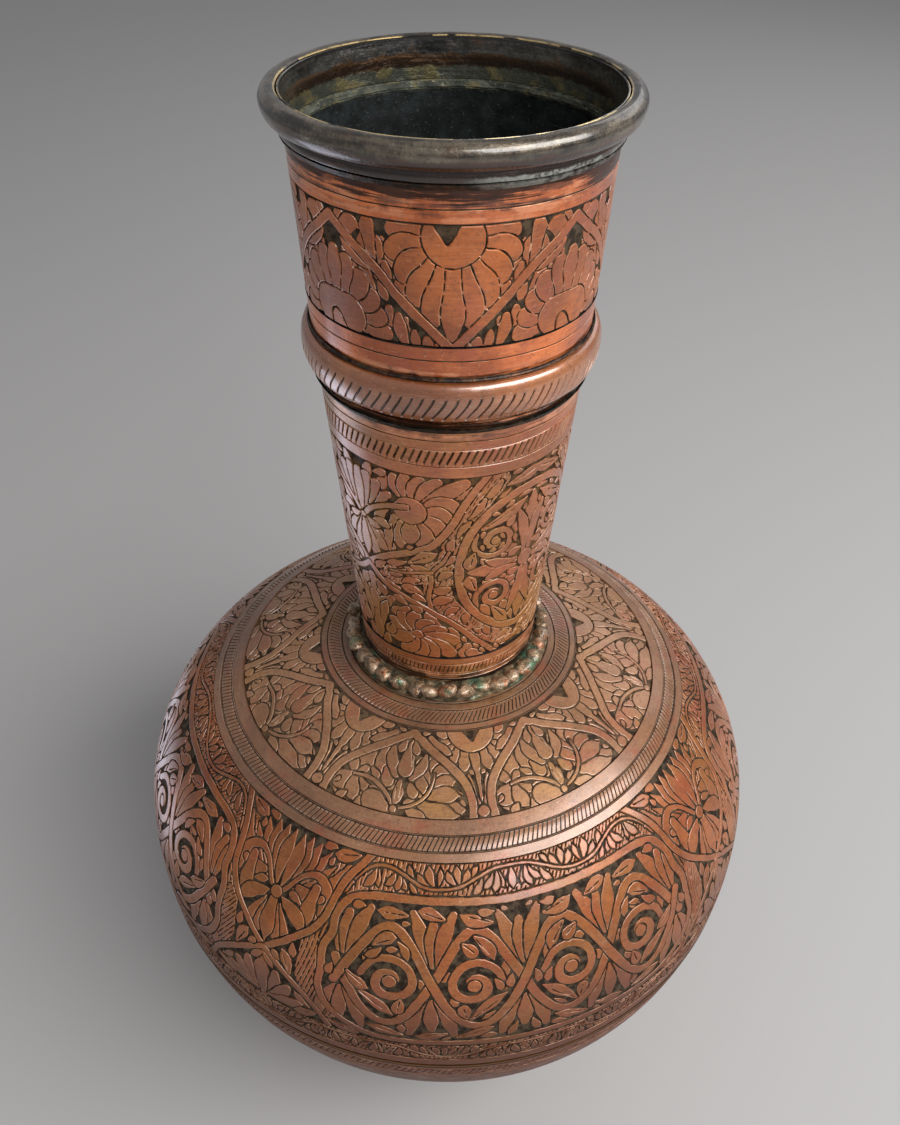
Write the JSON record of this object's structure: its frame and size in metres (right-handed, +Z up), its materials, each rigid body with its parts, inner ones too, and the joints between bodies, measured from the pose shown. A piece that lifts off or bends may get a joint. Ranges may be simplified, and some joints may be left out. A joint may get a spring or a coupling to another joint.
{
  "type": "engraved copper bottle vase",
  "caption": "Round-bellied bottle vase in engraved copper with a low foot ring, a tall neck with a half-round moulding, and a rolled lip at the open mouth.",
  "frame": {"origin": "centre of the foot ring on the surface the vase stands on", "axes": "+Z up along the vase's axis, towards the mouth; -Y faces the viewer of the picture"},
  "size_m": [0.209, 0.209, 0.3387],
  "materials": {
    "copper": "engraved red copper, burnished, with brown patina",
    "dark_copper": "copper darkened by handling and dirt",
    "tarnished_lip": "copper with a dark grey tin and oxide skin, worn bright on the edges",
    "grey_solder": "old tin solder, dull grey and black",
    "green_solder": "old solder and copper with verdigris",
    "spelter": "brazing brass, filed flush",
    "iron_wire": "dull black iron wire"
  },
  "bodies": {
    "root": {"foot_ring": "dark_copper", "lower_bowl": "copper", "body_seam_braze": "spelter", "upper_body": "copper", "neck_foot_solder": "green_solder", "pearl_ring": "green_solder", "neck_lower": "copper", "neck_upper": "copper", "neck_bead": "copper", "bead_solder_upper": "grey_solder", "bead_solder_lower": "grey_solder", "mouth_sleeve": "tarnished_lip", "mouth_ledge_solder": "green_solder", "rim_roll": "tarnished_lip", "rim_wire": "iron_wire", "rim_solder": "grey_solder"}
  },
  "joints": []
}
